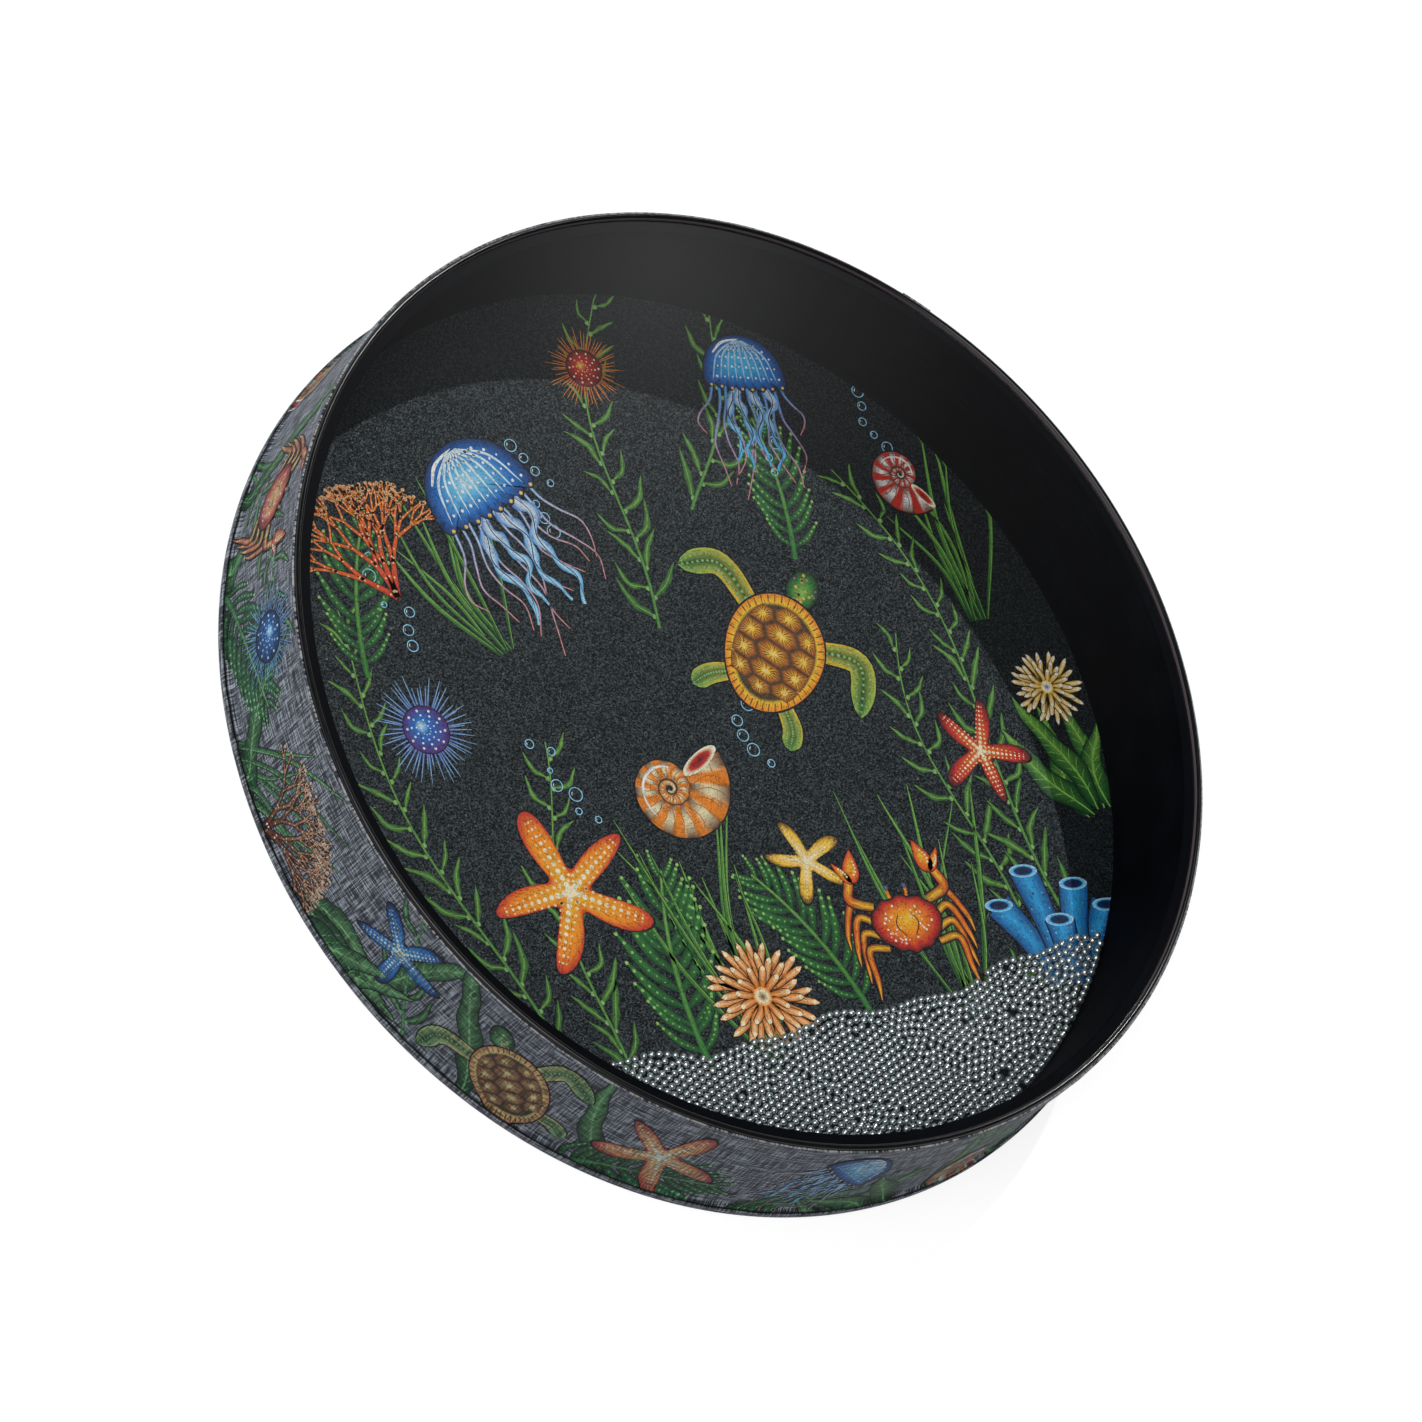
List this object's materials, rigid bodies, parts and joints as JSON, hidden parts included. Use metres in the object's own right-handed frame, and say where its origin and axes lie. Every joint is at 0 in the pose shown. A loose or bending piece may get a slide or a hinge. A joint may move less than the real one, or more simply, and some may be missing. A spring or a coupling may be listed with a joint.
{
  "type": "ocean drum",
  "caption": "Shallow round drum with a clear front head, a printed cloth back head and loose steel shot inside, which runs across the head to sound like surf.",
  "frame": {"origin": "middle of the face of the back hoop that the drum lies on", "axes": "+Z along the drum's axis towards the clear head; the shot is banked on the -Y side"},
  "size_m": [0.4103, 0.4104, 0.0635],
  "materials": {
    "black_fibre": "satin black lacquer on wound fibre",
    "black_gloss": "glossy black",
    "clear_film": "clear polyester film",
    "back_film": "black film",
    "printed_cloth": "dark printed cloth",
    "wrap_cloth": "printed cloth with a silvery weave",
    "binding_cloth": "plain grey cloth",
    "steel_shot": "polished steel balls"
  },
  "bodies": {
    "drum": {"back_hoop": "black_fibre", "back_edge_binding": "binding_cloth", "back_head_film": "back_film", "back_head_cloth": "printed_cloth", "shell_hoop": "black_fibre", "side_wrap": "wrap_cloth", "clear_front_head": "clear_film", "front_rim_hoop": "black_gloss"},
    "rim_shot": {"rim_shot": "steel_shot"},
    "wave_shot_1": {"wave_shot_1": "steel_shot"},
    "wave_shot_2": {"wave_shot_2": "steel_shot"},
    "wave_shot_3": {"wave_shot_3": "steel_shot"},
    "wave_shot_4": {"wave_shot_4": "steel_shot"},
    "wave_shot_5": {"wave_shot_5": "steel_shot"},
    "wave_shot_6": {"wave_shot_6": "steel_shot"},
    "wave_shot_7": {"wave_shot_7": "steel_shot"}
  },
  "joints": [
    {"name": "swirl", "type": "hinge", "parent": "drum", "child": "rim_shot", "pos_m": [0, 0, 0], "axis": [0, 0, 1], "continuous": true},
    {"name": "wave_1", "type": "slide", "parent": "rim_shot", "child": "wave_shot_1", "axis": [0, 1, 0], "range_m": [0, 0.225]},
    {"name": "wave_2", "type": "slide", "parent": "rim_shot", "child": "wave_shot_2", "axis": [0, 1, 0], "range_m": [0, 0.1935]},
    {"name": "wave_3", "type": "slide", "parent": "rim_shot", "child": "wave_shot_3", "axis": [0, 1, 0], "range_m": [0, 0.162]},
    {"name": "wave_4", "type": "slide", "parent": "rim_shot", "child": "wave_shot_4", "axis": [0, 1, 0], "range_m": [0, 0.1305]},
    {"name": "wave_5", "type": "slide", "parent": "rim_shot", "child": "wave_shot_5", "axis": [0, 1, 0], "range_m": [0, 0.099]},
    {"name": "wave_6", "type": "slide", "parent": "rim_shot", "child": "wave_shot_6", "axis": [0, 1, 0], "range_m": [0, 0.0675]},
    {"name": "wave_7", "type": "slide", "parent": "rim_shot", "child": "wave_shot_7", "axis": [0, 1, 0], "range_m": [0, 0.036]}
  ],
  "couplings": [
    {"joint": "wave_2", "follows": "wave_1", "ratio": 0.86},
    {"joint": "wave_3", "follows": "wave_1", "ratio": 0.72},
    {"joint": "wave_4", "follows": "wave_1", "ratio": 0.58},
    {"joint": "wave_5", "follows": "wave_1", "ratio": 0.44},
    {"joint": "wave_6", "follows": "wave_1", "ratio": 0.3},
    {"joint": "wave_7", "follows": "wave_1", "ratio": 0.16}
  ]
}
